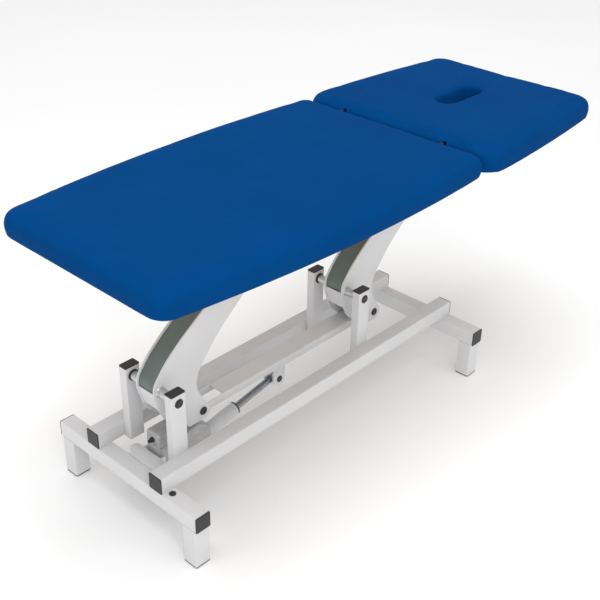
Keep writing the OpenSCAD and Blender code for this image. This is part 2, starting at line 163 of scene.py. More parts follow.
def vinyl(name, colour, dark):
    """Upholstery vinyl: leather-like cell grain, fine pores, cloudy tone, soft sheen."""
    mat, tree, b = new_material(name)
    c = obj_coord(tree)
    cells = add(tree, "ShaderNodeTexVoronoi", Scale=520.0, Randomness=0.9)
    cells.feature = "DISTANCE_TO_EDGE"
    warp = add(tree, "ShaderNodeTexNoise", Scale=260.0, Detail=3.0)
    tree.links.new(c, warp.inputs["Vector"])
    mix = tree.nodes.new("ShaderNodeVectorMath")
    mix.operation = "MULTIPLY_ADD"
    mix.inputs[1].default_value = (0.0012, 0.0012, 0.0012)
    tree.links.new(warp.outputs["Color"], mix.inputs[0])
    tree.links.new(c, mix.inputs[2])
    tree.links.new(mix.outputs["Vector"], cells.inputs["Vector"])
    grain = to_range(tree, cells.outputs["Distance"], 0.0, 1.0, 0.0, 0.28)
    cloud = noise_at(tree, c, 5.0, 5.0, 0.6)
    mottle = noise_at(tree, c, 55.0, 4.0)
    base = ramp(tree, cloud, [(0.3, tint(colour, 0.93)), (0.7, tint(colour, 1.06))])
    shade = tree.nodes.new("ShaderNodeMix")
    shade.data_type = "RGBA"
    shade.inputs["B"].default_value = (*dark, 1)
    tree.links.new(to_range(tree, grain, 0.22, 0.0), shade.inputs["Factor"])
    tree.links.new(base, shade.inputs["A"])
    tree.links.new(shade.outputs["Result"], b.inputs["Base Color"])
    tree.links.new(to_range(tree, mottle, 0.58, 0.72), b.inputs["Roughness"])
    n = bump(tree, mottle, 0.06, 0.002)
    tree.links.new(bump(tree, grain, 0.30, 0.00025, n), b.inputs["Normal"])
    b.inputs["Specular IOR Level"].default_value = 0.012
    return mat


def plywood(name):
    """Birch ply: face grain seen from above and below, dark and light plies at the edge."""
    mat, tree, b = new_material(name)
    c = obj_coord(tree)
    m = tree.nodes.new("ShaderNodeMapping")
    m.inputs["Scale"].default_value = (2.0, 26.0, 26.0)
    tree.links.new(c, m.inputs["Vector"])
    grain = noise_at(tree, m.outputs["Vector"], 6.0, 6.0, 0.65)
    face = ramp(tree, grain, [(0.35, (0.46, 0.31, 0.17)), (0.5, (0.62, 0.45, 0.27)), (0.7, (0.72, 0.56,
        0.36))])
    ply = tree.nodes.new("ShaderNodeTexWave")
    ply.wave_type, ply.bands_direction = "BANDS", "Z"
    ply.inputs["Scale"].default_value = 75.0
    ply.inputs["Distortion"].default_value = 0.4
    tree.links.new(c, ply.inputs["Vector"])
    edge = ramp(tree, ply.outputs["Fac"], [(0.35, (0.30, 0.19, 0.10)), (0.65, (0.66, 0.50, 0.31))])
    geo = tree.nodes.new("ShaderNodeNewGeometry")
    sep = tree.nodes.new("ShaderNodeSeparateXYZ")
    tree.links.new(geo.outputs["Normal"], sep.inputs[0])
    up = tree.nodes.new("ShaderNodeMath")
    up.operation = "ABSOLUTE"
    tree.links.new(sep.outputs["Z"], up.inputs[0])
    mix = tree.nodes.new("ShaderNodeMix")
    mix.data_type = "RGBA"
    tree.links.new(to_range(tree, up.outputs[0], 0.0, 1.0, 0.3, 0.7), mix.inputs["Factor"])
    tree.links.new(edge, mix.inputs["A"])
    tree.links.new(face, mix.inputs["B"])
    tree.links.new(mix.outputs["Result"], b.inputs["Base Color"])
    b.inputs["Roughness"].default_value = 0.7
    tree.links.new(bump(tree, grain, 0.25, 0.0005), b.inputs["Normal"])
    return mat


WHITE = paint("White powder coat", (0.70, 0.70, 0.71))
PANEL = paint("Grey-green panel coat", (0.122, 0.153, 0.144), 0.36, 0.06)
BLACK = plastic("Black cap plastic", (0.017, 0.018, 0.019), 0.46)
BUSH = plastic("Black bush plastic", (0.013, 0.0135, 0.014), 0.5)
COVER = plastic("Grey motor cover plastic", (0.37, 0.375, 0.375), 0.48, 900.0, 0.0003)
CAST = casting("Grey die casting", (0.44, 0.445, 0.445))
ZINC = metal("Bright zinc plate", (0.60, 0.61, 0.62), 0.30)
# near-black hinge steel is painted shade: it makes the hinge plates read as the shadowed crease between the
# pads
HINGE_CREASE_SHADE = metal("Hinge steel, near-black as painted crease shade", (0.030, 0.031, 0.033), 0.5, metallic=0.6)
ROD = metal("Drawn rod steel", (0.36, 0.37, 0.385), 0.24, (0.15, 1, 1), 500.0)
TUBE_GREY = paint("Grey actuator tube coat", (0.62, 0.625, 0.63), 0.34, 0.05)
VINYL = vinyl("Blue upholstery vinyl", (0.0006, 0.058, 0.220), (0.0003, 0.031, 0.13))
PLY = plywood("Birch plywood")


# ---------------------------------------------------------------- mesh helpers
def make_piece(name, bm, mat, body, replaced=(), smooth=30.0):
    me = bpy.data.meshes.new(name)
    bmesh.ops.recalc_face_normals(bm, faces=bm.faces)
    for f in bm.faces:
        f.smooth = True
    for e in bm.edges:
        if len(e.link_faces) == 2 and e.calc_face_angle(0.0) > math.radians(smooth):
            e.smooth = False
    bm.to_mesh(me)
    bm.free()
    ob = bpy.data.objects.new(name, me)
    bpy.context.scene.collection.objects.link(ob)
    me.materials.append(mat)
    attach(ob, body)
    if replaced:
        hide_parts(*replaced)
    return ob


def merge_into(bm, other):
    me = bpy.data.meshes.new("temp")
    other.to_mesh(me)
    other.free()
    bm.from_mesh(me)
    bpy.data.meshes.remove(me)


def bevelled(bm, width, segments=3, angle=35.0):
    """Rounds the edges of a bmesh that meet at more than the angle."""
    edges = [e for e in bm.edges if len(e.link_faces) == 2 and e.calc_face_angle(0.0) > math.radians(angle)]
    if edges:
        bmesh.ops.bevel(bm, geom=edges, offset=width, segments=segments, profile=0.5,
                        affect="EDGES", clamp_overlap=True)
    return bm


def prism(points, axis, lo, hi):
    """A flat outline of (a, b) points, extruded along axis X, Y or Z between lo and hi."""
    def put(a, b, h):
        return {"x": (h, a, b), "y": (a, h, b), "z": (a, b, h)}[axis]
    bm = bmesh.new()
    low = [bm.verts.new(put(a, b, lo)) for a, b in points]
    high = [bm.verts.new(put(a, b, hi)) for a, b in points]
    bm.faces.new(low)
    bm.faces.new(high)
    n = len(points)
    for i in range(n):
        j = (i + 1) % n
        bm.faces.new((low[i], low[j], high[j], high[i]))
    bmesh.ops.recalc_face_normals(bm, faces=bm.faces)
    return bm


def arc_pts(c, r, a0, a1, n):
    return [(c[0] + r * math.cos(math.radians(a0 + (a1 - a0) * i / n)),
             c[1] + r * math.sin(math.radians(a0 + (a1 - a0) * i / n))) for i in range(n + 1)]


def rounded_rect(cx, cy, w, h, r, n=5):
    pts = []
    for sx, sy, a in ((1, 1, 0), (-1, 1, 90), (-1, -1, 180), (1, -1, 270)):
        pts += arc_pts((cx + sx * (w / 2 - r), cy + sy * (h / 2 - r)), r, a, a + 90, n)
    return pts


def ring_lathe(profile, centre, axis="y", steps=48):
    """Turns a profile of (radius, height) points round an axis through the centre. A profile that comes
    back to its start is a ring with a clear bore; the ends of any other are capped."""
    bm = bmesh.new()
    rings = []
    for r, h in profile:
        ring = []
        for i in range(steps):
            t = 2 * math.pi * i / steps
            a, b = r * math.cos(t), r * math.sin(t)
            p = {"x": (h, a, b), "y": (a, h, b), "z": (a, b, h)}[axis]
            ring.append(bm.verts.new(Vector(centre) + Vector(p)))
        rings.append(ring)
    for k in range(len(rings) - 1):
        for i in range(steps):
            j = (i + 1) % steps
            bm.faces.new((rings[k][i], rings[k][j], rings[k + 1][j], rings[k + 1][i]))
    if profile[0] != profile[-1]:
        for ring, (r, _) in ((rings[0], profile[0]), (rings[-1], profile[-1])):
            if r > 0:
                bm.faces.new(ring)
    bmesh.ops.remove_doubles(bm, verts=bm.verts, dist=1e-7)
    bmesh.ops.recalc_face_normals(bm, faces=bm.faces)
    return bm


def solids(node):
    """Boxes of a node's separate solids, each as (low corner, high corner)."""
    bm = bmesh.new()
    bm.from_mesh(nodes[node].data)
    bmesh.ops.remove_doubles(bm, verts=bm.verts, dist=1e-6)
    left, out = set(bm.verts), []
    while left:
        todo, seen = [left.pop()], []
        while todo:
            v = todo.pop()
            seen.append(v.co.copy())
            for e in v.link_edges:
                w = e.other_vert(v)
                if w in left:
                    left.remove(w)
                    todo.append(w)
        out.append((Vector(min(c[i] for c in seen) for i in range(3)),
                    Vector(max(c[i] for c in seen) for i in range(3))))
    bm.free()
    return sorted(out, key=lambda b: tuple(b[0]))


def tube_bm(lo, hi, axis, r=4 * MM, wall=3 * MM, n=5):
    """Square tube with rounded corners, open ends and a real wall."""
    k = "xyz".index(axis)
    a, b = [i for i in range(3) if i != k]
    c = (lo + hi) / 2
    w, h = hi[a] - lo[a], hi[b] - lo[b]
    outer = rounded_rect(c[a], c[b], w, h, r, n)
    inner = rounded_rect(c[a], c[b], w - 2 * wall, h - 2 * wall, max(r - wall, 0.8 * MM), n)
    bm = bmesh.new()

    def loop(pts, t):
        out = []
        for p, q in pts:
            v = [0, 0, 0]
            v[k], v[a], v[b] = t, p, q
            out.append(bm.verts.new(v))
        return out
    loops = [loop(outer, lo[k]), loop(outer, hi[k]), loop(inner, hi[k]), loop(inner, lo[k])]
    m = len(outer)
    for s in range(4):
        one, two = loops[s], loops[(s + 1) % 4]
        for i in range(m):
            j = (i + 1) % m
            bm.faces.new((one[i], one[j], two[j], two[i]))
    bmesh.ops.recalc_face_normals(bm, faces=bm.faces)
    return bm


def tubes(node, axis, body, r=4, wall=3):
    bm = bmesh.new()
    for lo, hi in solids(node):
        merge_into(bm, tube_bm(lo, hi, axis, r * MM, wall * MM))
    return make_piece(node + "_tube", bm, WHITE, body, [node], 40)


def caps(node, axis, body, plate, wall=3):
    """Push-in tube caps: a plate with softened corners, a shallow pressed edge, a plug behind."""
    k = "xyz".index(axis)
    a, b = [i for i in range(3) if i != k]
    bm = bmesh.new()
    boxes = solids(node)
    mid = sum((lo[k] + hi[k] for lo, hi in boxes)) / (2 * len(boxes))
    for lo, hi in boxes:
        c = (lo + hi) / 2
        out = 1 if (c[k] > mid or axis == "z") else -1
        if node == "foot_caps":
            out = -1
        face = hi[k] if out > 0 else lo[k]
        steps = [(0.6, plate, 4.0), (0.0, plate - 0.6, 4.0), (0.0, 0.7, 4.0), (0.8, 0.0, 3.6), (2.2, 0.0,
            3.0)]
        loops = []
        for inset, depth, r in steps:
            pts = rounded_rect(c[a], c[b], hi[a] - lo[a] - 2 * inset * MM, hi[b] - lo[b] - 2 * inset * MM,
                               r * MM)
            ring = []
            for p, q in pts:
                v = [0, 0, 0]
                v[k], v[a], v[b] = face - out * depth * MM, p, q
                ring.append(bm.verts.new(v))
            loops.append(ring)
        for one, two in zip(loops, loops[1:]):
            for i in range(len(one)):
                j = (i + 1) % len(one)
                bm.faces.new((one[i], one[j], two[j], two[i]))
        bm.faces.new(loops[0])
        bm.faces.new(loops[-1])
        plug_lo, plug_hi = lo.copy(), hi.copy()
        for i in (a, b):
            plug_lo[i], plug_hi[i] = lo[i] + (wall + 0.3) * MM, hi[i] - (wall + 0.3) * MM
        if out > 0:
            plug_hi[k] = face - (plate - 0.2) * MM
        else:
            plug_lo[k] = face + (plate - 0.2) * MM
        merge_into(bm, tube_bm(plug_lo, plug_hi, axis, 2 * MM, 2 * MM, 3))
    return make_piece(node + "_moulded", bm, BLACK, body, [node], 25)


def across_lathe(bm, profile, x, z, y, side):
    """A lathed piece on a cross axis: heights run outwards from y on the given side."""
    pts = [(r * MM, side * (y + h) * MM) for r, h in profile]
    merge_into(bm, ring_lathe(pts, (x, 0, z), "y", 48))


# ---------------------------------------------------------------- base
tubes("crossbars", "y", "base")
tubes("base_rails", "x", "base")
tubes("legs", "z", "base")
tubes("uprights", "z", "base", 3.5)
caps("crossbar_caps", "y", "base", 3.5)
caps("rail_caps", "x", "base", 3.5)
caps("foot_caps", "z", "base", 4)
caps("upright_caps", "z", "base", 4)

PIVOTS = sorted({round((lo[0] + hi[0]) / 2, 4) for lo, hi in solids("pivot_shafts")})
PIVOT_Z = (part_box("pivot_shafts")[0][2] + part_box("pivot_shafts")[1][2]) / 2
UPS = sorted({round((lo[0] + hi[0]) / 2, 4) for lo, hi in solids("upper_shafts")})
UP_Z = (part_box("upper_shafts")[0][2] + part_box("upper_shafts")[1][2]) / 2
TAILS = sorted({round((lo[0] + hi[0]) / 2, 4) for lo, hi in solids("tail_bolts")})
TAIL_Z = (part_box("tail_bolts")[0][2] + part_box("tail_bolts")[1][2]) / 2

dome = [(13.9, 0), (13.9, 1.2), (13.2, 1.9), (11.6, 2.2), (11.3, 3.6), (10.2, 4.7), (7.5, 5.0), (6.6, 4.6),
    (0, 4.4)]
bm = bmesh.new()
for x in PIVOTS:
    for s in (-1, 1):
        across_lathe(bm, dome, x, PIVOT_Z, 111, s)
make_piece("shaft_end_caps_moulded", bm, BLACK, "base", ["shaft_end_caps"])

bm = ring_lathe([(9.9 * MM, 0), (9.9 * MM, 1.6 * MM), (8.6 * MM, 2.7 * MM), (6 * MM, 3 * MM), (5 * MM,
    2.4 * MM), (0, 2.2 * MM)],
                (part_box("crossbar_plug")[0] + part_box("crossbar_plug")[1]) / 2 - Vector((0, 0, 1.5 * MM)),
                "z")
make_piece("crossbar_plug_moulded", bm, BLACK, "base", ["crossbar_plug"])


def plate_piece(name, outlines, axis, spans, width, mat, body, replaced):
    """Flat plates with eased edges, cut from outlines and stood between the given spans."""
    bm = bmesh.new()
    for pts in outlines:
        for lo, hi in spans:
            merge_into(bm, bevelled(prism(pts, axis, lo * MM, hi * MM), width * MM, 2, 50))
    return make_piece(name, bm, mat, body, replaced, 35)


def mmpts(pts, dx=0.0, dz=0.0):
    return [((p[0] + dx) * MM, (p[1] + dz) * MM) for p in pts]


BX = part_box("crossbars")[0][0] / MM + 50
ACT = (-750.0, 95.0)
bracket = [(BX, -111), (BX + 47, -111), (BX + 47, 40)] + arc_pts((BX + 31, 47), 16, -20, 190, 14) + \
          [(BX + 12, 40), (BX, 40)]
cheek = [(BX, 172), (BX, 105)] + arc_pts(ACT, 20, 200, 340, 14) + [(ACT[0] + 20, 172)]
bm = bevelled(prism(mmpts(bracket), "z", 172 * MM, 178 * MM), 0.8 * MM, 2, 50)
for lo, hi in ((34, 40), (-40, -34)):
    merge_into(bm, bevelled(prism(mmpts(cheek), "y", lo * MM, hi * MM), 0.8 * MM, 2, 50))
make_piece("actuator_bracket_plate", bm, WHITE, "base", ["actuator_bracket"], 35)




def bead(bm, a, b, r=2.3):
    """A rippled weld bead between two points in metres, laid half into the corner."""
    a, b = Vector(a), Vector(b)
    t = (b - a).normalized()
    u = t.orthogonal().normalized()
    w = t.cross(u)
    n = max(int((b - a).length / (0.9 * MM)), 8)
    rings = []
    for i in range(n + 1):
        s = (b - a).length * i / n
        k = 0.84 + 0.16 * abs(math.sin(math.pi * s / (3.1 * MM))) + 0.08 * noise.noise(Vector((s * 160,
            a.x * 9, a.y * 9)))
        k *= min(1.0, 0.35 + 2.2 * min(i, n - i) / 8)
        rings.append([bm.verts.new(a + t * s + (u * math.cos(q) + w * math.sin(q)) * r * k * MM)
                      for q in (2 * math.pi * j / 10 for j in range(10))])
    for one, two in zip(rings, rings[1:]):
        for j in range(10):
            bm.faces.new((one[j], one[(j + 1) % 10], two[(j + 1) % 10], two[j]))
    bm.faces.new(rings[0])
    bm.faces.new(rings[-1])


bm = bmesh.new()
bars, rails = solids("crossbars"), solids("base_rails")
for blo, bhi in bars:
    for rlo, rhi in rails:   # rail lying on crossbar, one bead on each side of the rail
        for y in (rlo.y, rhi.y):
            bead(bm, (max(blo.x, rlo.x) + 3 * MM, y, bhi.z), (min(bhi.x, rhi.x) - 3 * MM, y, bhi.z))
for llo, lhi in solids("legs"):
    for x in (llo.x, lhi.x):
        bead(bm, (x, llo.y + 3 * MM, lhi.z), (x, lhi.y - 3 * MM, lhi.z))
    for y in (llo.y, lhi.y):
        bead(bm, (llo.x + 3 * MM, y, lhi.z), (lhi.x - 3 * MM, y, lhi.z))
for ulo, uhi in solids("uprights"):
    y = ulo.y if ulo.y > 0 else uhi.y
    near = min(rails, key=lambda box: abs((box[0].y + box[1].y) / 2 - (ulo.y + uhi.y) / 2))
    y = uhi.y if ulo.y > 0 else ulo.y
    bead(bm, (ulo.x + 3 * MM, y, near[1].z), (uhi.x - 3 * MM, y, near[1].z))
make_piece("base_weld_beads", bm, WHITE, "base", (), 60)


# ---------------------------------------------------------------- lifting arms
ARM_U, ARM_T = (415.0, 313.0), (146.0, -140.0)   # upper and tail pivots from the base pivot, mm
ARM_PLATES = [(33, 38), (-38, -33)]


def apply_modifiers(ob):
    dg = bpy.context.evaluated_depsgraph_get()
    baked = bpy.data.meshes.new_from_object(ob.evaluated_get(dg))
    old = ob.data
    ob.modifiers.clear()
    ob.data = baked
    bpy.data.meshes.remove(old)


def cut_away(ob, bm):
    """Cuts the shape of a bmesh out of an object's mesh."""
    me = bpy.data.meshes.new("cutter")
    bm.to_mesh(me)
    bm.free()
    cutter = bpy.data.objects.new("cutter", me)
    bpy.context.scene.collection.objects.link(cutter)
    mod = ob.modifiers.new("cut", "BOOLEAN")
    mod.operation, mod.solver, mod.object = "DIFFERENCE", "EXACT", cutter
    apply_modifiers(ob)
    bpy.data.objects.remove(cutter)
    bpy.data.meshes.remove(me)


def smooth_path(pts, n=8):
    """Catmull-Rom curve through the points."""
    out = []
    for i in range(len(pts) - 1):
        p0, p1 = pts[max(i - 1, 0)], pts[i]
        p2, p3 = pts[i + 1], pts[min(i + 2, len(pts) - 1)]
        for k in range(n):
            t = k / n
            out.append(tuple(0.5 * (2 * b + (c - a) * t + (2 * a - 5 * b + 4 * c - d) * t * t
                                    + (3 * b - a - 3 * c + d) * t ** 3)
                             for a, b, c, d in zip(p0, p1, p2, p3)))
    return out + [pts[-1]]


front_path = smooth_path([(88, -160), (66, -147), (45, -130), (22, -110), (6, -93), (-6, -70), (-14, -45),
    (-21.5, -22),
                          (-25, 2), (-20, 28), (-5, 50), (14, 73), (36, 95), (78, 130), (124, 163), (163,
                          190),
                          (240, 241.5), (320, 295), (392.1, 343.3)], 5)
rear_path = smooth_path([(437.9, 282.7), (372, 228), (295, 164.4), (239, 118), (201, 82), (171, 47), (145,
    15.5),
                         (131, -14), (126.5, -42), (133.5, -70), (150, -98), (171, -128)], 5)
end_arc = arc_pts(ARM_U, 38, 127, -53, 20)
tail_arc = arc_pts(ARM_T, 30, 20, -90, 12) + arc_pts((100, -152), 18, -90, -128, 5)
outline = front_path + end_arc[1:-1] + rear_path + tail_arc


def offset_path(pts, d):
    out = []
    for i, p in enumerate(pts):
        a, b = Vector(pts[max(i - 1, 0)]), Vector(pts[min(i + 1, len(pts) - 1)])
        t = (b - a).normalized()
        out.append((p[0] - t.y * d, p[1] + t.x * d))
    return out


def strip(pts, d0, d1):
    return offset_path(pts, d0) + offset_path(pts, d1)[::-1]


def part_of(path, test):
    return [p for p in path if test(p)]


for name, px in (("front_arm", PIVOTS[0] / MM), ("rear_arm", PIVOTS[-1] / MM)):
    pz = PIVOT_Z / MM
    plate_piece(name + "_side_plates", [mmpts(outline, px, pz)], "y", ARM_PLATES, 0.9,
                WHITE, name, [name + "_plates"])
    grey = strip(part_of(front_path, lambda p: p[1] > 0 and p[0] < 372), -6, -9)
    plate_piece(name + "_front_cover", [mmpts(grey, px, pz)], "y", [(-32.9, 32.9)], 0.5,
                PANEL, name, [name + "_panel"])
    low = strip(part_of(front_path, lambda p: -66 < p[1] <= 1 and p[0] < 20), -3, -6)
    back = strip(part_of(rear_path, lambda p: p[1] > -16 and p[0] < 380), -3, -6)
    plate_piece(name + "_inner_webs", [mmpts(low, px, pz), mmpts(back, px, pz)], "y", [(-33, 33)], 0.4,
                WHITE, name, [name + "_webs"])
    x, z = px * MM, pz * MM
    bm = bmesh.new()
    for s in (-1, 1):
        across_lathe(bm, [(12, 55), (14, 55), (14, 75.2), (13.2, 76), (12, 76)], x, z, 0, s)
        across_lathe(bm, [(12, 0), (14, 0), (14, 37), (15.6, 38), (17.5, 38.2), (16.2, 39.6), (14.2, 41),
            (14, 56), (12, 56)],
                     x, z, 0, s)
    make_piece(name + "_hub_sleeve", bm, ZINC, name, [name + "_hub_tube"])
    bm = bmesh.new()
    for s in (-1, 1):
        across_lathe(bm, [(10.1, 55), (11.9, 55), (11.9, 76), (16.4, 76), (17, 76.6), (17, 80), (16.4,
            80.6), (10.6, 80.6),
                          (10.1, 80.2), (10.1, 55)], x, z, 0, s)
    make_piece(name + "_hub_bushes", bm, BUSH, name, [name + "_bushes"])
    ux, uz = x + ARM_U[0] * MM, z + ARM_U[1] * MM
    bm = bmesh.new()
    across_lathe(bm, [(8.1, -40), (14.2, -40), (15, -39.2), (15, 39.2), (14.2, 40), (8.1, 40), (8.1, -40)],
        ux, uz, 0, 1)
    make_piece(name + "_top_sleeve", bm, ZINC, name, [name + "_top_tube"])

# ---------------------------------------------------------------- link bar
lo, hi = (Vector(v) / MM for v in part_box("link_channel"))
WEB_CUT = 111   # the channel has no web over this length, to pass the motor
half, top, cut = hi.y, hi.z, lo.x + WEB_CUT


def channel_outline(h, z1, depth, t, r):
    outer = [(-h, z1 - depth)] + arc_pts((-h + r, z1 - r), r, 180, 90, 6) + arc_pts((h - r, z1 - r), r, 90,
        0, 6) + \
            [(h, z1 - depth)]
    q = r - t
    inner = [(h - t, z1 - depth)] + arc_pts((h - r, z1 - r), q, 0, 90, 6) + arc_pts((-h + r, z1 - r), q, 90,
        180, 6) + \
            [(-h + t, z1 - depth)]
    return outer + inner


bm = bevelled(prism(mmpts(channel_outline(half, top, 25, 3, 5)), "x", cut * MM, hi.x * MM), 0.5 * MM, 2, 50)
for s in (-1, 1):
    side = [(cut + 1, top - 25), (lo.x + 12, top - 25)] + arc_pts((lo.x + 12, top - 12.5), 12.5, 270, 90,
        12) + \
           [(cut + 1, top)]
    a, b = sorted((s * half, s * (half - 3)))
    merge_into(bm, bevelled(prism(mmpts(side), "y", a * MM, b * MM), 0.5 * MM, 2, 50))
make_piece("link_bar", bm, WHITE, "link", ["link_channel"], 35)

RX, RZ = -256.0, 190.0
lug = [(RX - 25, top - 3)] + arc_pts((RX, RZ), 25, 180, 360, 24) + [(RX + 25, top - 3)]
plate_piece("rod_lug_plates", [mmpts(lug)], "y", [(17, 23), (-23, -17)], 0.9, WHITE, "link", ["rod_lugs"])
bm = bmesh.new()
for s in (-1, 1):
    across_lathe(bm, [(6, -1), (6, 0), (10.9, 0), (10.9, 1.4), (10, 2.4), (8.4, 3.6), (6, 4), (4.8, 3.6),
        (0, 3.5)], RX * MM, RZ * MM, 23, s)
across_lathe(bm, [(6, -22.5), (6, 22.5)], RX * MM, RZ * MM, 0, 1)
make_piece("rod_pin_capped", bm, BLACK, "link", ["rod_pin"])
bm = bmesh.new()
for x in TAILS:
    for s in (-1, 1):
        across_lathe(bm, [(5, -8.4), (5, -5.4), (6, -5.4), (6, 1.3), (12.9, 1.3), (12.9, 2.4), (12, 3.2),
            (11, 3.5),
                          (10.6, 4.4), (9.4, 5.2), (6.5, 5.3), (5.6, 4.8), (0, 4.7)], x, TAIL_Z, 38, s)
make_piece("tail_bolts_capped", bm, BLACK, "link", ["tail_bolts"])

# ---------------------------------------------------------------- actuator
ANG = math.atan2(RZ - ACT[1], RX - ACT[0])
LENGTH = math.hypot(RZ - ACT[1], RX - ACT[0])
CASTING_BORE_R = 20.05


def on_actuator(bm):
    """Takes a bmesh drawn along +X from the base pin, in metres, to its place."""
    bmesh.ops.transform(bm, matrix=Matrix.Translation(Vector((ACT[0] * MM, 0, ACT[1] * MM)))
                        @ Matrix.Rotation(-ANG, 4, "Y"), verts=bm.verts)
    return bm


def along(profile, steps=48):
    return on_actuator(ring_lathe([(r * MM, h * MM) for r, h in profile], (0, 0, 0), "x", steps))


body_line = [(-740, 195), (-740, 78), (-728, 70), (-560, 100), (-548, 110), (-548, 170), (-555, 181),
             (-574, 193), (-589, 204), (-643, 195)]
bm = bevelled(prism(mmpts(body_line), "y", -28 * MM, 28 * MM), 3.5 * MM, 4, 20)
ear = arc_pts(ACT, 16, 60, 300, 24) + [(-734, 81), (-734, 109)]
merge_into(bm, bevelled(prism(mmpts(ear), "y", -12 * MM, 12 * MM), 1.5 * MM, 3, 40))
for s in (-1, 1):   # screw bosses on both sides
    for x, z in ((-629, 173), (-728, 182), (-722, 92), (-572, 118)):
        across_lathe(bm, [(5.6, -1), (5.6, 0.2), (5.0, 0.45), (3.4, 0.45), (3.0, -0.9), (0, -1.0)], x * MM,
            z * MM, 27.9, s)
casting_ob = make_piece("gear_casting", bm, CAST, "actuator_body", ["gear_housing"], 40)
cut_away(casting_ob, along([(0, 110), (CASTING_BORE_R, 110), (CASTING_BORE_R, 240), (0, 240)]))
cover = [(-740, 195.5), (-643.5, 195.5), (-643.5, 232), (-648, 237), (-735, 237), (-740, 232)]
bm = bevelled(prism(mmpts(cover), "y", -28 * MM, 28 * MM), 3.0 * MM, 4, 20)
make_piece("motor_cover", bm, COVER, "actuator_body", ["motor_housing"], 40)
bm = along([(17.3, 180.4), (19.6, 180), (20, 180.4), (20, 327.6), (19.2, 328.6), (17.3, 329), (17.3,
    180.4)])
make_piece("actuator_outer_tube", bm, TUBE_GREY, "actuator_body", ["actuator_tube"])
bm = along([(16.5, 328.2), (20.3, 328.6), (20.5, 329.4), (20.5, 331.4), (19.6, 332.9), (17.3, 333), (16.5,
    332.2), (16.5, 328.2)])
make_piece("tube_end_wiper", bm, BUSH, "actuator_body", ["tube_end_ring"])
gland = [(8, 0), (8, 5), (7.4, 6), (6.6, 6.4), (6.6, 8), (4.6, 9), (4.5, 15.4), (4, 16), (2.6, 16), (2.4,
    13), (0, 13)]
bm = ring_lathe([(r * MM, -h * MM) for r, h in gland], (-740 * MM, 0, 216 * MM), "x", 40)
make_piece("mains_inlet_gland", bm, BLACK, "actuator_body", ["mains_inlet"])
bm = along([(9, LENGTH - 213), (10.4, LENGTH - 213), (11, LENGTH - 212), (11, LENGTH - 15.2), (9,
    LENGTH - 15.2), (9, LENGTH - 213)])
make_piece("push_rod_drawn", bm, ROD, "actuator_rod", ["push_rod"])
bm = along([(0, LENGTH - 15.2), (11, LENGTH - 15.2), (11.4, LENGTH - 14.6), (11.4, LENGTH - 6), (0,
    LENGTH - 5)])
eye = ring_lathe([(6.05 * MM, -16 * MM), (14 * MM, -16 * MM), (15 * MM, -15 * MM), (15 * MM, 15 * MM),
    (14 * MM, 16 * MM),
                  (6.05 * MM, 16 * MM), (6.05 * MM, -16 * MM)], (LENGTH * MM, 0, 0), "y", 40)
merge_into(bm, on_actuator(eye))
make_piece("rod_end_eye", bm, ZINC, "actuator_rod", ["rod_eye"])

# ---------------------------------------------------------------- upper frame
tubes("top_rails", "x", "top_frame", 3.5, 2.5)
tubes("top_cross_tubes", "y", "top_frame", 3.5, 2.5)
tubes("head_side_tubes", "x", "head_section", 3.5, 2.5)
tubes("head_cross_tube", "y", "head_section", 3.5, 2.5)
caps("top_rail_caps", "x", "top_frame", 3, 2.5)
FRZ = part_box("top_rails")[0][2] / MM
ux0, ux1, uz = UPS[0] / MM, UPS[-1] / MM, UP_Z / MM
UPPER_PLATES = [(43, 49), (-49, -43)]
hang = arc_pts((ux0, uz), 24, 180, 360, 24) + [(ux0 + 26, FRZ - 30), (ux0 + 34, FRZ), (ux0 - 34, FRZ),
    (ux0 - 26, FRZ - 30)]
plate_piece("hanger_side_plates", [mmpts(hang)], "y", UPPER_PLATES, 0.9, WHITE, "top_frame",
    ["hanger_plates"])
reach = [(ux1 - 14, uz + 26), (232, FRZ), (100, FRZ), (100, FRZ - 18), (250, FRZ - 46)] + arc_pts((ux1, uz),
    24, 250, 430, 24)
plate_piece("outrigger_side_plates", [mmpts(reach)], "y", UPPER_PLATES, 0.9, WHITE, "top_frame",
            ["outrigger_plates"])
bm = bmesh.new()
for x in UPS:
    for s in (-1, 1):
        nut = [(13 * MM * math.cos(math.radians(60 * i + 30)) + x,
            13 * MM * math.sin(math.radians(60 * i + 30)) + UP_Z)
               for i in range(6)]
        a, b = sorted((s * 49.9 * MM, s * 54 * MM))
        merge_into(bm, bevelled(prism(nut, "y", a, b), 0.6 * MM, 2, 50))
        across_lathe(bm, [(12.8, 49), (12.8, 50), (8, 50.1)], x, UP_Z, 0, s)
        across_lathe(bm, [(10.5, 53.8), (9, 54.8), (0, 55)], x, UP_Z, 0, s)
make_piece("upper_shaft_lock_nuts", bm, ZINC, "top_frame", ["upper_shaft_nuts"])
HX, HZ = 252.0, 868.0
KNUCKLE_R = 7.2
# the hinge plates get the near-black painted crease shade, so they disappear into the dark gap between the
# pads
fixed = [(150, FRZ + 6), (234, FRZ + 6), (246, FRZ + 34)] + arc_pts((HX, HZ), KNUCKLE_R, -20, 190, 20) + \
        [(226, FRZ + 34), (150, FRZ + 34)]
plate_piece("hinge_fixed_plates", [mmpts(fixed)], "y", [(190, 194.5), (-194.5, -190)], 0.7, HINGE_CREASE_SHADE,
    "top_frame",
            ["hinge_fixed_leaves"])
moving = arc_pts((HX, HZ), KNUCKLE_R, 0, 215, 20) + [(280, FRZ + 30), (296, FRZ + 6), (380, FRZ + 6), (380,
    FRZ + 34), (306, FRZ + 34)]
plate_piece("hinge_moving_plates", [mmpts(moving)], "y", [(195.3, 199.8), (-199.8, -195.3)], 0.7, HINGE_CREASE_SHADE,
    "head_section",
            ["hinge_moving_leaves"])
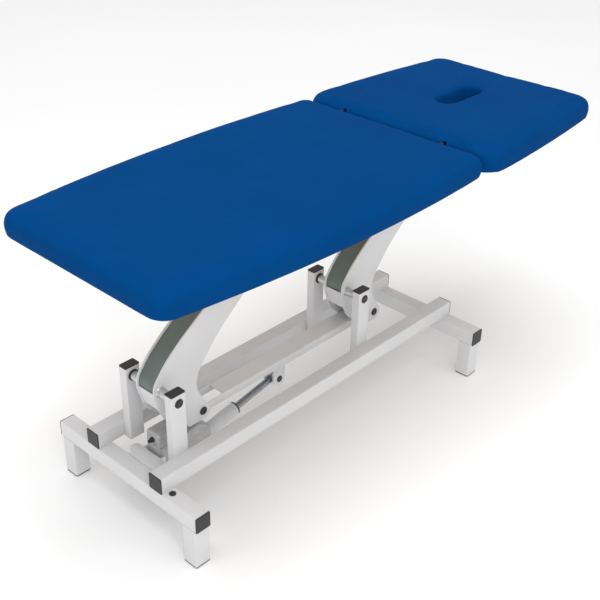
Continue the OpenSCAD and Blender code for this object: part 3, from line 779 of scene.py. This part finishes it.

# ---------------------------------------------------------------- kept CAD nodes
# the hinge pins are black as painted shade, so they read as the dark crease between the pads
keep = {"pivot_shafts": ZINC, "base_pin": ZINC, "base_pin_sleeves": BUSH, "tail_washers": ZINC,
    "drive_motor": ZINC,
        "motor_pinion": ZINC, "screw_gear": ZINC, "lead_screw": ZINC, "drive_nut": BUSH,
            "upper_shafts": ZINC,
        "board_screws": ZINC, "main_board": PLY, "head_board": PLY, "hinge_pins": BLACK}
for name, mat in keep.items():
    me = nodes[name].data
    me.materials.clear()
    me.materials.append(mat)

# ---------------------------------------------------------------- pads
PAD_BOTTOM, PAD_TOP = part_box("main_cushion")[0][2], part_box("main_cushion")[1][2]
MAIN_X0, MAIN_X1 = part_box("main_cushion")[0][0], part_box("main_cushion")[1][0]
HEAD_X0, HEAD_X1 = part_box("head_cushion")[0][0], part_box("head_cushion")[1][0]
SLOT_X, SLOT_L, SLOT_W = 615.0, 195.0, 58.0   # mm
# corner radii in plan, at the foot side and the head side of each pad, in mm
FOOT_PAD_RADII, HEAD_PAD_RADII = (52, 27), (78, 42)
FOOT_HEM_RADII, HEAD_HEM_RADII = (50, 38), (70, 42)
PAD_SWELL = 5                     # how much a pad's start shape is smaller, in mm
FOOT_PAD_VOXEL, HEAD_PAD_VOXEL = 7 * MM, 6 * MM
HEM_STOP = 60 * MM                # the hem ends this far from the hinge join
STAPLE_PITCH, STAPLE_HALF = 45 * MM, 5 * MM
END_LEAN = math.radians(12)       # lean of the foot pad's end below the hinge
END_CUT = 10 * MM


def main_half(x):
    return 372.5 - 0.000101 * (x + 182) ** 2


def head_half(x):
    return 375 - 0.000089 * (x - 135) ** 2


def pad_loop(x0, x1, half, radii, inset, n=40, m=12):
    """Closed plan outline of a pad in metres: barrel sides, corners rounded by one radius at each end."""
    x0, x1 = x0 / MM + inset, x1 / MM - inset
    r, q = radii
    side = [(x0 + r + (x1 - x0 - r - q) * i / n) for i in range(n + 1)]
    side = [(x, half(x) - inset) for x in side]
    h0, h1 = side[0][1], side[-1][1]
    top = arc_pts((x0 + r, h0 - r), r, 180, 92, m) + side + arc_pts((x1 - q, h1 - q), q, 88, 0, m)
    ends = [(x1, top[-1][1] - 2 * top[-1][1] * i / 16) for i in range(1, 16)]
    back = [(x, -y) for x, y in reversed(top)]
    close = [(x0, back[-1][1] * (1 - 2 * i / 16.0)) for i in range(1, 16)]
    return [(x * MM, y * MM) for x, y in top + ends + back + close]


def slot_loop(grow, n=20):
    r, d = SLOT_W / 2 + grow, SLOT_L / 2 - SLOT_W / 2
    return [(x * MM, y * MM) for x, y in arc_pts((SLOT_X + d, 0), r, -90, 90, n) + arc_pts((SLOT_X - d, 0),
        r, 90, 270, n)]


def lofted(loops):
    """Skins a stack of equal-length closed loops of (x, y, z)."""
    bm = bmesh.new()
    rings = [[bm.verts.new(p) for p in loop] for loop in loops]
    for one, two in zip(rings, rings[1:]):
        for i in range(len(one)):
            j = (i + 1) % len(one)
            bm.faces.new((one[i], one[j], two[j], two[i]))
    return bm, rings


def pad_start(x0, x1, half, radii, swell):
    """Closed start shape of a pad, smaller all round than the finished one by the swell."""
    # inset and height of each loop up the side: tucked bottom, upright wall, rolled top edge
    s = swell
    prof = [(13 + s, 0), (7 + s, 3.5), (2.5 + s, 11), (s, 25), (0.6 + s, 40), (3.2 + s, 52), (8 + s, 62),
        (15 + s, 70 - s / 2),
            (26 + s, 76 - s), (42 + s, 80 - s)]
    loops = [[(x, y, PAD_BOTTOM + h * MM) for x, y in pad_loop(x0, x1, half, radii, k)] for k, h in prof]
    bm, rings = lofted(loops)
    bm.faces.new(rings[0])
    bm.faces.new(rings[-1])
    bmesh.ops.recalc_face_normals(bm, faces=bm.faces)
    return bm


def hinge_notches():
    """Pockets in the pads' facing ends for the two hinges."""
    bm = bmesh.new()
    for y in (-203.5, 189):
        merge_into(bm, prism([(223, y), (281, y), (281, y + 14.5), (223, y + 14.5)], "z", -60, 62.8))
    bmesh.ops.scale(bm, vec=(MM, MM, MM), verts=bm.verts)
    bmesh.ops.translate(bm, vec=(0, 0, PAD_BOTTOM), verts=bm.verts)
    return bm


def voxel_remesh(ob, voxel):
    mod = ob.modifiers.new("even", "REMESH")
    mod.mode, mod.voxel_size = "VOXEL", voxel
    apply_modifiers(ob)


def inflate(ob, cap, voxel, pressure=4.0, frames=20):
    """Cloth simulation of a stuffed cover: pressure from inside, the underside held on its board."""
    voxel_remesh(ob, voxel)
    start = [v.co.copy() for v in ob.data.vertices]
    pins = ob.vertex_groups.new(name="held")
    pins.add([i for i, c in enumerate(start) if c.z < PAD_BOTTOM + 5 * MM], 1.0, "REPLACE")
    cloth = ob.modifiers.new("cover", "CLOTH")
    st = cloth.settings
    st.quality = 4
    st.mass = 0.4
    st.tension_stiffness = st.compression_stiffness = 18
    st.shear_stiffness = 8
    st.bending_stiffness = 1.5
    st.use_pressure, st.uniform_pressure_force = True, pressure
    st.effector_weights.gravity = 0
    st.vertex_group_mass = "held"
    cloth.collision_settings.use_collision = False
    cloth.collision_settings.use_self_collision = False
    cloth.point_cache.frame_end = frames
    scene = bpy.context.scene
    for f in range(1, frames + 1):
        scene.frame_set(f)
    apply_modifiers(ob)
    for v, s in zip(ob.data.vertices, start):
        d = v.co - s
        if d.length > cap:
            v.co = s + d * (cap / d.length)
    scene.frame_set(1)


def pad_piece(name, node, body, x0, x1, half, radii, swell, voxel, with_slot=False):
    bm = pad_start(x0, x1, half, radii, swell)
    me = bpy.data.meshes.new(name)
    bm.to_mesh(me)
    bm.free()
    ob = bpy.data.objects.new(name, me)
    bpy.context.scene.collection.objects.link(ob)
    if with_slot:
        cut_away(ob, prism(slot_loop(3), "z", PAD_BOTTOM - 0.02, PAD_TOP + 0.02))
    inflate(ob, swell * MM * 1.15, voxel)
    relax(ob, 5)
    settle(ob, x0, x1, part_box(node)[1][1])
    sub = ob.modifiers.new("smooth", "SUBSURF")
    sub.levels = sub.render_levels = 1
    apply_modifiers(ob)
    cut_away(ob, hinge_notches())
    for p in ob.data.polygons:
        p.use_smooth = True
    ob.data.materials.clear()
    ob.data.materials.append(VINYL)
    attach(ob, body)
    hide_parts(node)
    return ob


def relax(ob, times):
    """Evens out the voxel steps that the remesh leaves."""
    bm = bmesh.new()
    bm.from_mesh(ob.data)
    for _ in range(times):
        bmesh.ops.smooth_vert(bm, verts=bm.verts, factor=0.5, use_axis_x=True, use_axis_y=True,
            use_axis_z=True)
    bm.to_mesh(ob.data)
    bm.free()


def settle(ob, x0, x1, wide):
    """Fits the relaxed cover to the pad's length and width, flat on its board."""
    lo, hi = min(v.co.x for v in ob.data.vertices), max(v.co.x for v in ob.data.vertices)
    full = max(abs(v.co.y) for v in ob.data.vertices)
    stretch = (x1 - x0 - 0.4 * MM) / (hi - lo)
    for v in ob.data.vertices:
        c = v.co
        c.z = max(c.z, PAD_BOTTOM)
        c.x = x0 + 0.2 * MM + (c.x - lo) * stretch
        c.y *= wide / full
        if x1 < HEAD_X0:   # the foot pad's end leans back below the hinge, for the lowered head
            c.x = min(c.x, x1 - END_CUT + math.tan(END_LEAN) * (c.z - PAD_BOTTOM + 1 * MM))
        hollow = noise.noise(Vector((c.x * 3.1, c.y * 4.3, 0.3))) * 0.6 + noise.noise(Vector((c.x * 11,
            c.y * 9, 2.7))) * 0.25
        if c.z > PAD_TOP - 12 * MM:
            c.z += hollow * MM


pad_piece("foot_pad_cover", "main_cushion", "top_frame", MAIN_X0, MAIN_X1, main_half, FOOT_PAD_RADII,
    PAD_SWELL, FOOT_PAD_VOXEL)
pad_piece("head_pad_cover", "head_cushion", "head_section", HEAD_X0, HEAD_X1, head_half, HEAD_PAD_RADII,
    PAD_SWELL, HEAD_PAD_VOXEL, True)


def hem_piece(name, body, x0, x1, half, radii, keep_side):
    """The cover's edge folded under the board, with its staples; left open at the hinge."""
    outer, inner, mid = (pad_loop(x0, x1, half, radii, k) for k in (12, 40, 30))
    start = next(i for i in range(len(outer)) if keep_side(inner[i][0]) and not keep_side(inner[i - 1][0]))
    order = [(start + i) % len(outer) for i in range(len(outer))]
    order = [i for i in order if keep_side(inner[i][0]) and keep_side(outer[i][0])]
    bm = bmesh.new()
    rows = []
    for n, i in enumerate(order):
        wave = 0.35 * noise.noise(Vector((outer[i][0] * 14, outer[i][1] * 14, 5.0)))
        low = PAD_BOTTOM - (1.5 + wave) * MM
        a, b = Vector((*outer[i], 0)), Vector((*inner[i], 0))
        b = b + (b - a) * 0.12 * noise.noise(Vector((b.x * 20, b.y * 20, 1.0)))
        rows.append([bm.verts.new(p) for p in ((a.x, a.y, PAD_BOTTOM), (a.x, a.y, low), (b.x, b.y, low),
            (b.x, b.y, PAD_BOTTOM))])
    for one, two in zip(rows, rows[1:]):
        for j in range(4):
            bm.faces.new((one[j], one[(j + 1) % 4], two[(j + 1) % 4], two[j]))
    bm.faces.new(rows[0])
    bm.faces.new(rows[-1])
    make_piece(name + "_hem", bm, VINYL, body, (), 60)
    bm, gone = bmesh.new(), 0.0
    for i, j in zip(order, order[1:]):
        a, b = Vector((*mid[i], PAD_BOTTOM - 1.9 * MM)), Vector((*mid[j], PAD_BOTTOM - 1.9 * MM))
        gone += (b - a).length
        if gone > STAPLE_PITCH:
            gone = 0.0
            t = (b - a).normalized() * STAPLE_HALF
            side = Vector((-t.y, t.x, 0)).normalized() * 0.5 * MM
            c = (a + b) / 2
            ends = [c - t - side, c + t - side, c + t + side, c - t + side]
            merge_into(bm, prism([(p.x, p.y) for p in ends], "z", c.z - 0.4 * MM, c.z + 1.0 * MM))
    make_piece(name + "_staples", bm, ZINC, body, ())


hem_piece("foot_pad", "top_frame", MAIN_X0, MAIN_X1, main_half, FOOT_HEM_RADII,
    lambda x: x < MAIN_X1 - HEM_STOP)
hem_piece("head_pad", "head_section", HEAD_X0, HEAD_X1, head_half, HEAD_HEM_RADII,
    lambda x: x > HEAD_X0 + HEM_STOP)


# ---------------------------------------------------------------- studio
def studio_floor():
    bm = bmesh.new()
    bmesh.ops.create_grid(bm, x_segments=8, y_segments=8, size=14)
    me = bpy.data.meshes.new("studio_floor")
    bm.to_mesh(me)
    bm.free()
    ob = bpy.data.objects.new("studio_floor", me)
    bpy.context.scene.collection.objects.link(ob)
    mat, tree, b = new_material("Pale floor")
    c = obj_coord(tree)
    cloud = noise_at(tree, c, 0.6, 2.0)
    tree.links.new(ramp(tree, cloud, [(0.3, (0.955, 0.955, 0.957)), (0.7, (0.975, 0.975, 0.977))]),
        b.inputs["Base Color"])
    b.inputs["Roughness"].default_value = 0.8
    b.inputs["Specular IOR Level"].default_value = 0.15
    me.materials.append(mat)


def area_light(name, place, target, size, watts):
    data = bpy.data.lights.new(name, "AREA")
    data.shape, data.size, data.energy = "SQUARE", size, watts
    ob = bpy.data.objects.new(name, data)
    ob.location = place
    ob.rotation_mode = "QUATERNION"
    ob.rotation_quaternion = (Vector(target) - Vector(place)).to_track_quat("-Z", "Y")
    bpy.context.scene.collection.objects.link(ob)


studio_floor()
world = bpy.data.worlds.new("Studio")
bpy.context.scene.world = world
world.use_nodes = True
world.node_tree.nodes["Background"].inputs["Color"].default_value = (1.0, 1.0, 1.0, 1)
world.node_tree.nodes["Background"].inputs["Strength"].default_value = 0.60
area_light("overhead", (0.0, -0.3, 13.0), (0, 0, 0), 10.0, 820)
area_light("key", (-2.6, -3.4, 3.6), (0, 0, 0.5), 2.4, 55)
area_light("fill", (-4.2, 1.0, 2.6), (0, 0, 0.4), 2.2, 20)
area_light("low_side", (0.4, -4.6, 1.1), (0, 0, 0.3), 2.4, 14)

# the photograph's viewpoint
AZ, EL, ROLL = math.radians(-47.4065), math.radians(30.7331), math.radians(1.1193)
back_v = Vector((math.sin(AZ) * math.cos(EL), -math.cos(AZ) * math.cos(EL), math.sin(EL)))
right = (-back_v).cross(Vector((0, 0, 1))).normalized()
up = right.cross(-back_v)
right, up = right * math.cos(ROLL) + up * math.sin(ROLL), -right * math.sin(ROLL) + up * math.cos(ROLL)
cam_data = bpy.data.cameras.new("Camera")
cam_data.sensor_width, cam_data.lens = 36, 60
cam_data.clip_start, cam_data.clip_end = 0.1, 60
cam = bpy.data.objects.new("Camera", cam_data)
cam.rotation_mode = "QUATERNION"
cam.rotation_quaternion = Matrix((right, up, back_v)).transposed().to_quaternion()
cam.location = (-2.0866, -1.7863, 1.9866)
bpy.context.scene.collection.objects.link(cam)
bpy.context.scene.camera = cam
bpy.context.scene.view_settings.view_transform = "Standard"
